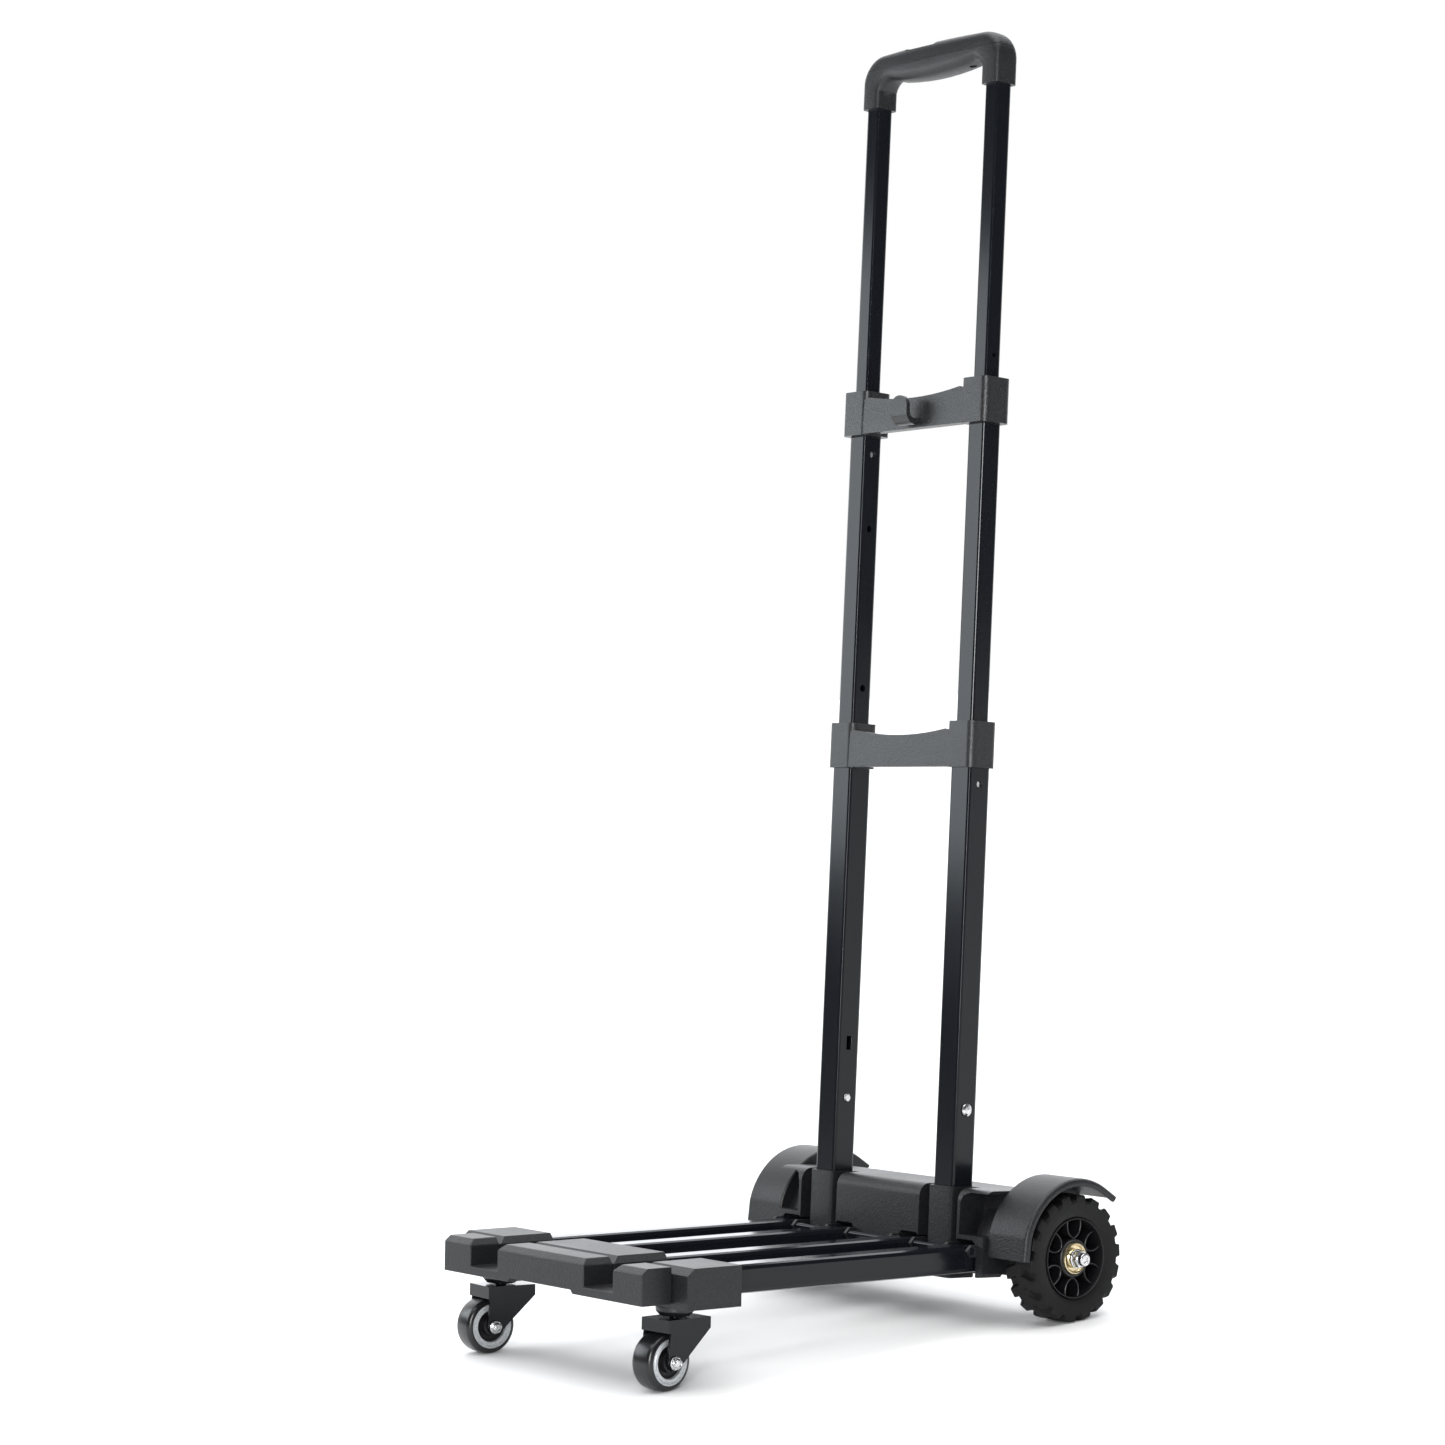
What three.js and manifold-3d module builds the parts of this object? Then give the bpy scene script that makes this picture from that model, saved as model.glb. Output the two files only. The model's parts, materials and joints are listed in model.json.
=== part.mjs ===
// Folding luggage cart: a fold-up platform on two swivel casters, an axle housing with two
// treaded wheels under fenders, and a three-stage telescopic handle. Millimetres, +Z up,
// front is -Y, standing on z = 0 with all four wheels.
import * as THREE from 'three';
import { mergeVertices } from 'three/addons/utils/BufferGeometryUtils.js';
import Module from 'manifold-3d';

const wasm = await Module();
wasm.setup();

// ---- Driving dimensions ----
const GAP = 0.3; // clearance between touching pieces
const RAD = Math.PI / 180;
const SIDES = [['left', -1], ['right', 1]];

// Handle frame: z runs up the uprights, z = 0 at the top of the sockets.
const UPRIGHT_X = 70; // uprights stand at +-70
const LEAN = 6.42; // degrees that the uprights lean back from the vertical
const FOLD_FREE = 2.06; // degrees between the uprights and the platform's normal
const LOWER_TUBE = { size: 22, wall: 1.2, bottom: -56, top: 350 };
const MID_TUBE = { size: 18.5, wall: 1.2, bottom: 300, top: 621 };
const UPPER_TUBE = { size: 15, wall: 1.2, bottom: 560, top: 884 };
const TUBE_CORNER = 2.2;
const LOWER_CLAMP = { bottom: 325, top: 361.2 };
const UPPER_CLAMP = { bottom: 596, top: 631.7 };
const SLEEVE_X = 29.6;
const SLEEVE_Y = 28.2;
const SLEEVE_CORNER = 6;
const RIVET_Z = 59;
const SLOT_Z = 103;
const LOWER_PIN_Z = 312;
const UPPER_PIN_Z = 581;
const PIN_RADIUS = 2.5;

// Grip
const GRIP_LEG_BOTTOM = 866;
const GRIP_TOP = 909.5;
const GRIP_CROWN = 1.8;
const GRIP_SPLIT = 897;
const GRIP_HALF = 80;
const GRIP_LEG_INNER = 60.4;
const GRIP_LEG_DEPTH = 22;
const GRIP_DEPTH = 25;
const BUTTON_X = -14;
const BUTTON_LENGTH = 36;
const BUTTON_WIDTH = 20;
const BUTTON_TRAVEL = 3;

// Axle housing
const HOUSING_HALF = 121.7;
const PANEL_HALF = 48.6;
const PANEL_FRONT = -15.5;
const WING_INNER = 92;
const SOCKET_HALF = 14;
const CHANNEL_FLOOR = -46;
const HOUSING_BACK = 60;
const HOUSING_BOTTOM = -63;
const HOUSING_WALL = 3;
const RIB_X = [-78, -26, 26, 78];
const COVER_THICKNESS = 2.5;

// Rear wheels and fenders
const AXLE_Y = 43.6;
const AXLE_Z = -48;
const AXLE_RADIUS = 4;
const AXLE_HALF = 172;
const WHEEL_X = 149;
const WHEEL_WIDTH = 30;
const TREAD_RADIUS = 48.6;
const TYRE_RADIUS = 45;
const RIM_RADIUS = 30.5;
const RIM_INNER = 27.6;
const HUB_RADIUS = 11.8;
const LUGS = 18;
const SPOKES = 12; // in pairs that bow apart
const FENDER_INNER_X = HOUSING_HALF + GAP;
const FENDER_OUTER_X = 164;
const FENDER_Y = AXLE_Y + 1.9;
const FENDER_Z = AXLE_Z + 3.2;
const FENDER_RADIUS = 57.5;
const FENDER_THICKNESS = 2.8;
const ARCH_RADIUS = 47;
const FENDER_LIP_RADIUS = 51.5;
const FENDER_TAIL = 47; // degrees above the horizontal, at the rear

// Platform frame: y runs back along the tubes, z is normal to the platform, z = 0 at its top.
const PLATFORM_Y = -14;
const PLATFORM_Z = -37.3;
const BAR = { front: -330.8, depth: 26.7, half: 121.2, bottom: -26.5, chamfer: 5 };
const BLOCK = { front: -303.2, back: -253.6, half: 138, bottom: -29.6, chamfer: 6.4 };
const NOTCH_HALF = 17;
const NOTCH_FLOOR = 6.5;
const PLATFORM_TUBE = { size: 21, wall: 1.4, top: -4.3, front: -296, back: 8.5, corner: 3.5 };
const PLATFORM_TUBE_X = [-102, -38, 38, 102];
const SLIDE_TUBE = { size: 17.6, wall: 1.2, back: -150 };
const HINGE_Y = -8.2;
const HINGE_Z = -8.3;
const HINGE_PIN_RADIUS = 2.5;

// Casters, in a frame at the middle of the mounting face under the block
const CASTER_X = 106;
const CASTER_Y = -288.5;
const CASTER_YAW = { left: -5, right: 5 };
const CASTER_TRAIL = 13;
const CASTER_RADIUS = 20.7;
const CASTER_WIDTH = 20;
const FORK_INNER = 12.3;
const FORK_SHEET = 2;
const FORK_TOP = -8.2;

// ---- Materials ----
function finish(color, roughness, metalness) {
  return new THREE.MeshStandardMaterial({ color, roughness, metalness });
}

const blackPaint = () => finish(0x0c0d10, 0.22, 0.4);
const blackPlastic = () => finish(0x26272a, 0.6, 0);
const satinPlastic = () => finish(0x1b1c1e, 0.4, 0);
const blackRubber = () => finish(0x141415, 0.85, 0);
const rollerTread = () => finish(0x111112, 0.35, 0);
const rimPlastic = () => finish(0x0e0e10, 0.35, 0);
const zincSteel = () => finish(0xc9cbcc, 0.28, 1);
const goldZinc = () => finish(0xc9b88a, 0.3, 1);
const greyDisc = () => finish(0xb4b8ba, 0.35, 0.8);

// ---- Solids ----
function solidOf(geometry) {
  const bare = geometry.clone();
  bare.deleteAttribute('normal');
  bare.deleteAttribute('uv');
  const merged = mergeVertices(bare, 1e-4);
  const vertProperties = new Float32Array(merged.attributes.position.array);
  const triVerts = new Uint32Array(merged.index.array);
  return new wasm.Manifold(new wasm.Mesh({ numProp: 3, vertProperties, triVerts }));
}

function geometryOf(solid) {
  const { vertProperties, triVerts } = solid.getMesh();
  const geometry = new THREE.BufferGeometry();
  geometry.setAttribute('position', new THREE.BufferAttribute(new Float32Array(vertProperties), 3));
  geometry.setIndex(new THREE.BufferAttribute(new Uint32Array(triVerts), 1));
  geometry.computeVertexNormals();
  return geometry;
}

function piece(name, solid, material) {
  const mesh = new THREE.Mesh(geometryOf(solid), material);
  mesh.name = name;
  return mesh;
}

const union = (solids) => solids.reduce((all, next) => all.add(next));
const cut = (solid, tools) => tools.reduce((rest, tool) => rest.subtract(tool), solid);

function mirrored(solid) {
  return solid.mirror([1, 0, 0]);
}

function outline(points) {
  return new THREE.Shape(points.map(([x, y]) => new THREE.Vector2(x, y)));
}

function roundedRect(width, height, radius) {
  const [x, y] = [width / 2, height / 2];
  const shape = new THREE.Shape();
  shape.moveTo(-x + radius, -y);
  shape.lineTo(x - radius, -y);
  shape.absarc(x - radius, -y + radius, radius, -Math.PI / 2, 0);
  shape.lineTo(x, y - radius);
  shape.absarc(x - radius, y - radius, radius, 0, Math.PI / 2);
  shape.lineTo(-x + radius, y);
  shape.absarc(-x + radius, y - radius, radius, Math.PI / 2, Math.PI);
  shape.lineTo(-x, -y + radius);
  shape.absarc(-x + radius, -y + radius, radius, Math.PI, Math.PI * 1.5);
  return shape;
}

function extruded(shape, depth, curveSegments = 1) {
  return new THREE.ExtrudeGeometry(shape, { depth, bevelEnabled: false, curveSegments });
}

// An outline drawn in (y, z), swept along X from x0 to x1.
function sweptX(shape, x0, x1, curveSegments = 1) {
  const basis = new THREE.Matrix4().makeBasis(
    new THREE.Vector3(0, 1, 0), new THREE.Vector3(0, 0, 1), new THREE.Vector3(1, 0, 0));
  const geometry = extruded(shape, x1 - x0, curveSegments).applyMatrix4(basis);
  return solidOf(geometry.translate(x0, 0, 0));
}

// An outline drawn in (x, z), swept along Y from y0 to y1.
function sweptY(shape, y0, y1, curveSegments = 1) {
  const geometry = extruded(shape, y1 - y0, curveSegments).rotateX(Math.PI / 2);
  return solidOf(geometry.translate(0, y1, 0));
}

// An outline drawn in (x, y), swept up from z0 to z1.
function sweptZ(shape, z0, z1, curveSegments = 1) {
  return solidOf(extruded(shape, z1 - z0, curveSegments).translate(0, 0, z0));
}

function box(x0, x1, y0, y1, z0, z1) {
  const geometry = new THREE.BoxGeometry(x1 - x0, y1 - y0, z1 - z0);
  return solidOf(geometry.translate((x0 + x1) / 2, (y0 + y1) / 2, (z0 + z1) / 2));
}

function rodX(radius, x0, x1, y, z, segments = 16) {
  const geometry = new THREE.CylinderGeometry(radius, radius, x1 - x0, segments);
  return solidOf(geometry.rotateZ(Math.PI / 2).translate((x0 + x1) / 2, y, z));
}

function rodZ(radius, z0, z1, x, y, segments = 20) {
  const geometry = new THREE.CylinderGeometry(radius, radius, z1 - z0, segments);
  return solidOf(geometry.rotateX(Math.PI / 2).translate(x, y, (z0 + z1) / 2));
}

// A profile of (radius, x) points turned about the X axis, in either drawing order.
function turnedX(profile, segments) {
  const points = profile.map(([radius, x]) => new THREE.Vector2(radius, x));
  if (THREE.ShapeUtils.area(points) < 0) points.reverse();
  const geometry = new THREE.LatheGeometry(points, segments);
  return solidOf(geometry.rotateZ(-Math.PI / 2));
}

function squareTube(x, { size, wall, bottom, top }) {
  const outer = sweptZ(roundedRect(size, size, TUBE_CORNER), bottom, top);
  const inside = size - 2 * wall;
  const bore = sweptZ(roundedRect(inside, inside, TUBE_CORNER - wall), bottom - 1, top + 1);
  return outer.subtract(bore).translate([x, 0, 0]);
}

// ---- Chassis: housing, fenders, axle, lower tubes and lower clamp ----
function housingProfile(front) {
  const shape = new THREE.Shape();
  const nose = 10;
  shape.moveTo(front, HOUSING_BOTTOM);
  shape.lineTo(HOUSING_BACK - 6, HOUSING_BOTTOM);
  shape.absarc(HOUSING_BACK - 6, HOUSING_BOTTOM + 6, 6, -Math.PI / 2, 0);
  shape.lineTo(HOUSING_BACK, -30);
  shape.lineTo(54, -8);
  shape.absarc(46, -8, 8, 0, Math.PI / 2);
  shape.lineTo(front + nose, 0);
  shape.absarc(front + nose, -nose, nose, Math.PI / 2, Math.PI);
  return shape;
}

function tubePocket(x) {
  const top = -38.2;
  const half = PLATFORM_TUBE.size / 2 + 2;
  const mouth = outline([[x - half, -80], [x + half, -80], [x + half, top - 4], [x + half - 4, top],
    [x - half + 4, top], [x - half, top - 4]]);
  return sweptY(mouth, PANEL_FRONT - 20, 6);
}

function wingRecess() {
  const recess = new THREE.Shape();
  recess.moveTo(95, -35);
  recess.lineTo(HOUSING_HALF + 1, -35);
  recess.lineTo(HOUSING_HALF + 1, -2.5);
  recess.lineTo(103, -2.5);
  recess.absarc(103, -10.5, 8, Math.PI / 2, Math.PI);
  return sweptY(recess, -30, 10);
}

function hingeLug(x0, x1) {
  const shape = new THREE.Shape();
  const [y, z] = handlePoint(HINGE_Y, HINGE_Z);
  const reach = 4.6;
  shape.moveTo(PANEL_FRONT + 6, z - reach);
  shape.lineTo(PANEL_FRONT + 6, z + reach);
  shape.lineTo(y, z + reach);
  shape.absarc(y, z, reach, Math.PI / 2, Math.PI * 1.5);
  return sweptX(shape, x0, x1);
}

// Platform frame (y, z) to handle frame (y, z).
function handlePoint(y, z) {
  const turn = FOLD_FREE * RAD;
  return [
    PLATFORM_Y + y * Math.cos(turn) - z * Math.sin(turn),
    PLATFORM_Z + y * Math.sin(turn) + z * Math.cos(turn),
  ];
}

function axleHousing() {
  const shell = sweptX(housingProfile(PANEL_FRONT), -HOUSING_HALF, HOUSING_HALF, 4);
  const column = sweptZ(roundedRect(2 * SOCKET_HALF, 2 * SOCKET_HALF, 4), -70, 0);
  const foot = outline([[-16, -66], [16, -66], [19.5, -62], [19.5, -48], [-16, -48]]);
  const lobe = sweptY(foot, PANEL_FRONT, 8);
  const additions = [];
  const removals = [];
  for (const [, side] of SIDES) {
    const x = side * UPRIGHT_X;
    const channel = box(PANEL_HALF, WING_INNER, PANEL_FRONT - 5, 10, CHANNEL_FLOOR, 1);
    removals.push(side > 0 ? channel : mirrored(channel));
    additions.push(column.translate([x, 0, 0]));
    additions.push(box(x - 25, x + 25, 9, 20, HOUSING_BOTTOM, 0));
    removals.push(side > 0 ? wingRecess() : mirrored(wingRecess()));
    additions.push(lobe.translate([side * 102, 0, 0]));
  }
  let body = cut(shell, removals);
  // The rear half is hollow and open below, where the bottom cover closes it.
  const innerFloor = HOUSING_BOTTOM - 1;
  const hollow = box(-HOUSING_HALF + HOUSING_WALL, HOUSING_HALF - HOUSING_WALL,
    20, HOUSING_BACK - HOUSING_WALL - 3, innerFloor, -11);
  const ribEnd = HOUSING_BACK - HOUSING_WALL;
  const ribs = RIB_X.map((x) => box(x - 1.25, x + 1.25, 18, ribEnd, HOUSING_BOTTOM, -9));
  body = union([body.subtract(hollow), ...ribs, ...additions]);
  const drum = rodX(ARCH_RADIUS, 100, HOUSING_HALF, AXLE_Y, AXLE_Z, 30)
    .intersect(box(100, 140, -20, HOUSING_BACK, HOUSING_BOTTOM, -2));
  body = union([body, drum, mirrored(drum)]);
  const clearances = PLATFORM_TUBE_X.map(tubePocket);
  for (const [, side] of SIDES) {
    const inner = LOWER_TUBE.size + 2 * GAP;
    const bore = sweptZ(roundedRect(inner, inner, TUBE_CORNER), LOWER_TUBE.bottom - GAP, 5);
    clearances.push(bore.translate([side * UPRIGHT_X, 0, 0]));
  }
  clearances.push(rodX(AXLE_RADIUS + GAP, -200, 200, AXLE_Y, AXLE_Z));
  body = cut(body, clearances);
  const lugs = [];
  for (const x of PLATFORM_TUBE_X) {
    const reach = PLATFORM_TUBE.size / 2;
    lugs.push(hingeLug(x - reach - 4, x - reach - 1));
    lugs.push(hingeLug(x + reach + 1, x + reach + 4));
  }
  const [pinY, pinZ] = handlePoint(HINGE_Y, HINGE_Z);
  return union([body, ...lugs]).subtract(rodX(HINGE_PIN_RADIUS + GAP, -200, 200, pinY, pinZ));
}

function housingBottomCover() {
  const top = HOUSING_BOTTOM - GAP;
  const plate = sweptZ(roundedRect(2 * HOUSING_HALF - 4, 32, 3), top - COVER_THICKNESS, top);
  const screws = [-110, 0, 110].map((x) => rodZ(3, top - COVER_THICKNESS - 1, top - 1, x, 0, 12));
  return union([plate, ...screws]).translate([0, 37, 0]);
}

function fender() {
  const wedge = (radius) => {
    const shape = new THREE.Shape();
    shape.absarc(FENDER_Y, FENDER_Z, radius, FENDER_TAIL * RAD, Math.PI, false);
    shape.lineTo(FENDER_Y, FENDER_Z);
    return shape;
  };
  const band = (outer, inner, x0, x1) => sweptX(wedge(outer), x0, x1, 10).subtract(
    rodX(inner, x0 - 1, x1 + 1, FENDER_Y, FENDER_Z, 36));
  const roof = band(FENDER_RADIUS, FENDER_RADIUS - FENDER_THICKNESS, FENDER_INNER_X, FENDER_OUTER_X);
  const lip = band(FENDER_RADIUS, FENDER_LIP_RADIUS, FENDER_OUTER_X - 3, FENDER_OUTER_X);
  const wall = sweptX(wedge(FENDER_RADIUS), FENDER_INNER_X, FENDER_INNER_X + 3, 10);
  const boss = rodX(13, FENDER_INNER_X, FENDER_INNER_X + 4.5, AXLE_Y, AXLE_Z, 24);
  const y0 = FENDER_Y - FENDER_RADIUS;
  const skirt = box(FENDER_INNER_X, FENDER_OUTER_X, y0, y0 + FENDER_THICKNESS, AXLE_Z - 2, FENDER_Z + 1);
  const gusset = box(FENDER_INNER_X, FENDER_INNER_X + 3, y0 + 1, AXLE_Y, AXLE_Z - 2, FENDER_Z + 1);
  return union([roof, lip, wall, boss, skirt, gusset])
    .subtract(rodX(AXLE_RADIUS + GAP, 100, 200, AXLE_Y, AXLE_Z));
}

function lowerTube(side) {
  const holes = [
    rodX(PIN_RADIUS + GAP, side > 0 ? 6 : -14, side > 0 ? 14 : -6, 0, LOWER_PIN_Z, 12),
    rodX(PIN_RADIUS + GAP, -14, 14, 0, RIVET_Z, 12),
    box(side > 0 ? -14 : 6, side > 0 ? -6 : 14, -2.5, 2.5, SLOT_Z - 5.5, SLOT_Z + 5.5),
  ];
  return cut(squareTube(0, LOWER_TUBE), holes).translate([side * UPRIGHT_X, 0, 0]);
}

function tubeRivet(side) {
  const face = LOWER_TUBE.size / 2 + GAP;
  const shank = rodX(PIN_RADIUS, -face - 1, face + 1, 0, RIVET_Z, 12);
  const head = turnedX([[0, face + 2.4], [3, face + 2.1], [5, face + 0.8], [5, face], [0, face]], 20);
  const ring = turnedX([[0, face + 1.2], [2.6, face + 1.2], [3.4, face + 0.6], [3.4, face], [0, face]], 16);
  const heads = side > 0 ? [head, mirrored(ring)] : [mirrored(head), ring];
  const turned = heads.map((solid) => solid.translate([0, 0, RIVET_Z]));
  return union([shank, ...turned]).translate([side * UPRIGHT_X, 0, 0]);
}

// A cross clamp: two sleeves round the uprights and a bar between them with a dished top.
function clamp(range, outerTube, tubeTop, innerTube, thickness) {
  const sleeve = sweptZ(roundedRect(SLEEVE_X, SLEEVE_Y, SLEEVE_CORNER), range.bottom, range.top, 3);
  const [bottom, top, dish, shoulder] = [range.bottom + 0.5, range.top - 6, 9, 7];
  const bar = new THREE.Shape();
  const reach = UPRIGHT_X - SLEEVE_X / 2 + SLEEVE_CORNER - 1;
  bar.moveTo(-reach, bottom);
  bar.lineTo(reach, bottom);
  bar.lineTo(reach, top - shoulder);
  bar.quadraticCurveTo(reach, top, reach - shoulder, top);
  bar.quadraticCurveTo(0, top - dish, shoulder - reach, top);
  bar.quadraticCurveTo(-reach, top, -reach, top - shoulder);
  const front = -SLEEVE_Y / 2 + 0.8;
  const parts = [sweptY(bar, front, front + thickness, 10)];
  const outerBore = outerTube.size + 2 * GAP;
  const innerBore = innerTube.size + 2 * GAP;
  const bores = [];
  for (const [, side] of SIDES) {
    const at = [side * UPRIGHT_X, 0, 0];
    parts.push(sleeve.translate(at));
    bores.push(sweptZ(roundedRect(outerBore, outerBore, TUBE_CORNER), range.bottom - 1,
      tubeTop + GAP).translate(at));
    bores.push(sweptZ(roundedRect(innerBore, innerBore, TUBE_CORNER), tubeTop, range.top + 1)
      .translate(at));
  }
  return cut(union(parts), bores);
}

function hook() {
  const front = -SLEEVE_Y / 2;
  const [base, reach, lift, tip] = [UPPER_CLAMP.bottom + 2, 14.5, 23, 3.6];
  const [outerBend, innerBend] = [10, 5.5];
  const shape = new THREE.Shape();
  shape.moveTo(front + 3, base);
  shape.absarc(front - reach + outerBend, base + outerBend, outerBend, -Math.PI / 2, -Math.PI, true);
  shape.lineTo(front - reach, base + lift);
  shape.lineTo(front - reach + tip, base + lift);
  const inside = [front - reach + tip + innerBend, base + 5 + innerBend];
  shape.absarc(...inside, innerBend, Math.PI, Math.PI * 1.5, false);
  shape.lineTo(front + 3, base + 6);
  const [width, height, round] = [19, 60, 9];
  const tongue = sweptX(shape, -width / 2, width / 2, 4);
  const rounded = sweptY(roundedRect(width, height, round), front - reach - 1, front + 4, 4)
    .translate([0, 0, base + lift - height / 2]);
  return tongue.intersect(rounded);
}

// ---- Rear wheels ----
function treadRing(phase, x0, x1) {
  const shape = new THREE.Shape();
  const pitch = (2 * Math.PI) / LUGS;
  const stations = [[0, TYRE_RADIUS], [0.16, TYRE_RADIUS], [0.24, TREAD_RADIUS], [0.84, TREAD_RADIUS],
    [0.92, TYRE_RADIUS]];
  for (let lug = 0; lug < LUGS; lug += 1) {
    stations.forEach(([share, radius], station) => {
      const angle = (lug + phase + share) * pitch;
      const point = [radius * Math.cos(angle), radius * Math.sin(angle)];
      if (lug === 0 && station === 0) shape.moveTo(...point);
      else shape.lineTo(...point);
    });
  }
  return sweptX(shape, x0, x1);
}

function tyre() {
  const half = WHEEL_WIDTH / 2;
  const tread = union([treadRing(0, -half, 1), treadRing(0.5, -1, half)]);
  return tread.subtract(rodX(RIM_RADIUS + GAP, -half - 1, half + 1, 0, 0, 36));
}

function spoke(index) {
  const shape = new THREE.Shape();
  const [r0, r1, width] = [HUB_RADIUS - 0.5, RIM_INNER + 0.5, 1.8];
  const bow = index % 2 ? 3.4 : -3.4;
  shape.moveTo(r0, -width / 2);
  shape.quadraticCurveTo((r0 + r1) / 2, bow - width / 2, r1, -width / 2);
  shape.lineTo(r1, width / 2);
  shape.quadraticCurveTo((r0 + r1) / 2, bow + width / 2, r0, width / 2);
  return sweptX(shape, -WHEEL_WIDTH / 2 + 5, WHEEL_WIDTH / 2 - 5, 2).rotate([(index * 360) / SPOKES, 0, 0]);
}

function rim() {
  const half = WHEEL_WIDTH / 2;
  const ring = turnedX([[RIM_RADIUS, -half + 1], [RIM_RADIUS, half - 1], [RIM_INNER, half - 1],
    [RIM_INNER, -half + 1], [RIM_RADIUS, -half + 1]], 36);
  const barrel = rodX(HUB_RADIUS + 1.5, -half + 2, half - 3, 0, 0, 20);
  const web = rodX(RIM_INNER + 0.5, -1.5, 1.5, 0, 0, 36);
  const spokes = Array.from({ length: SPOKES }, (_, index) => spoke(index));
  return union([ring, barrel, web, ...spokes]).subtract(
    rodX(HUB_RADIUS - 2.6, -half - 1, half + 1, 0, 0, 20));
}

// Bearing sleeve through the hub, with a flange on the outer side.
function hubBearing() {
  const half = WHEEL_WIDTH / 2;
  const [bore, body, flange] = [AXLE_RADIUS + GAP, HUB_RADIUS - 2.6 - GAP, HUB_RADIUS];
  return turnedX([[bore, -half + 2], [body, -half + 2], [body, half - 3 + GAP], [flange, half - 3 + GAP],
    [flange, half - 1.2], [flange - 1.6, half - 0.6], [bore, half - 0.6], [bore, -half + 2]], 20);
}

function lockNut(across, height, dome, bore) {
  const radius = across / Math.sqrt(3);
  const hexagon = solidOf(new THREE.CylinderGeometry(radius, radius, height, 6)
    .rotateZ(Math.PI / 2).translate(height / 2, 0, 0));
  const collar = turnedX([[0, height - 0.5], [across * 0.46, height - 0.5],
    [across * 0.36, height + dome], [0, height + dome]], 18);
  return union([hexagon, collar]).subtract(rodX(bore, -1, height + dome - 1.2, 0, 0, 16));
}

// ---- Platform ----
function platformTube(x) {
  const { size, wall, top, front, back, corner } = PLATFORM_TUBE;
  const centre = top - size / 2;
  const outer = sweptY(roundedRect(size, size, corner), front, back).translate([x, 0, centre]);
  const inside = size - 2 * wall;
  const bore = sweptY(roundedRect(inside, inside, corner - wall), front - 1, HINGE_Y - 14)
    .translate([x, 0, centre]);
  // The rear end is a closed plug, rounded so that it turns down inside its pocket.
  const swing = rodX(23.2, x - 20, x + 20, HINGE_Y, HINGE_Z, 24);
  const ahead = box(x - 20, x + 20, front - 2, HINGE_Y, -60, 20);
  return outer.subtract(bore).intersect(union([swing, ahead]))
    .subtract(rodX(HINGE_PIN_RADIUS + GAP, x - 20, x + 20, HINGE_Y, HINGE_Z));
}

// Front faces have a chamfered top edge, and the notches line up with the uprights.
function notchedBeam({ front, half, bottom, chamfer }, depth, sideChamfer) {
  const shape = outline([[front, bottom], [front + depth, bottom], [front + depth, 0],
    [front + chamfer, 0], [front, -chamfer * 0.8]]);
  const beam = sweptX(shape, -half, half);
  const floor = bottom + NOTCH_FLOOR;
  const notches = [];
  for (const [, side] of SIDES) {
    const x = side * UPRIGHT_X;
    notches.push(sweptY(outline([[x - NOTCH_HALF, floor], [x + NOTCH_HALF, floor],
      [x + NOTCH_HALF, -sideChamfer], [x + NOTCH_HALF + sideChamfer, 1],
      [x - NOTCH_HALF - sideChamfer, 1], [x - NOTCH_HALF, -sideChamfer]]),
      front - 1, front + depth + 1));
  }
  return cut(beam, notches);
}

function frontBlock() {
  const beam = notchedBeam(BLOCK, BLOCK.back - BLOCK.front, 5);
  const { size, top } = PLATFORM_TUBE;
  const hole = size + 2 * GAP;
  const bores = PLATFORM_TUBE_X.map((x) => {
    const end = Math.abs(x) < UPRIGHT_X ? BLOCK.front - 1 : PLATFORM_TUBE.front - GAP;
    return sweptY(roundedRect(hole, hole, PLATFORM_TUBE.corner), end, BLOCK.back + 1)
      .translate([x, 0, top - size / 2]);
  });
  const kingpins = SIDES.map(([, side]) => rodZ(3.3, BLOCK.bottom - 1, BLOCK.bottom + 4,
    side * CASTER_X, CASTER_Y, 16));
  return cut(beam, [...bores, ...kingpins]);
}

function frontBar() {
  const beam = notchedBeam(BAR, BAR.depth, 5);
  const grip = outline([[-40, BAR.bottom - 1], [40, BAR.bottom - 1], [37, BAR.bottom + 3],
    [-37, BAR.bottom + 3]]);
  return beam.subtract(sweptY(grip, BAR.front - 1, BAR.front + 14));
}

function slideTube(side) {
  const { size, wall, back } = SLIDE_TUBE;
  const inside = size - 2 * wall;
  const centre = PLATFORM_TUBE.top - PLATFORM_TUBE.size / 2;
  const front = BAR.front + BAR.depth + GAP;
  return sweptY(roundedRect(size, size, 2), front, back)
    .subtract(sweptY(roundedRect(inside, inside, 1), front + 3, back + 1))
    .translate([side * 38, 0, centre]);
}

// ---- Casters ----
const rise = (LEAN - FOLD_FREE) * RAD;
const housingLevel = (y, z) => -y * Math.sin(LEAN * RAD) + z * Math.cos(LEAN * RAD);
const groundLevel = housingLevel(AXLE_Y, AXLE_Z) - TREAD_RADIUS;
const casterAxleDrop = casterAxle();

// Height of the caster axle below the block, so that the roller stands on the ground.
function casterAxle() {
  const y = CASTER_Y - CASTER_TRAIL;
  const level = housingLevel(PLATFORM_Y, PLATFORM_Z) - y * Math.sin(rise);
  return BLOCK.bottom - (groundLevel + CASTER_RADIUS - level) / Math.cos(rise);
}

function casterMount() {
  const deck = -FORK_TOP + FORK_SHEET;
  const plate = turnedX([[0, 0], [14, 0], [14, 3.5], [11, 6.8], [0, 6.8]], 20);
  const pin = rodX(3, -3.4, 1, 0, 0, 16);
  const shaft = rodX(4, 6, deck + 1, 0, 0, 16);
  const stud = rodX(6.5, deck + 0.8, deck + 2.6, 0, 0, 16);
  return union([plate, pin, shaft, stud]).rotate([0, 90, 0]).translate([0, 0, -GAP]);
}

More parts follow.
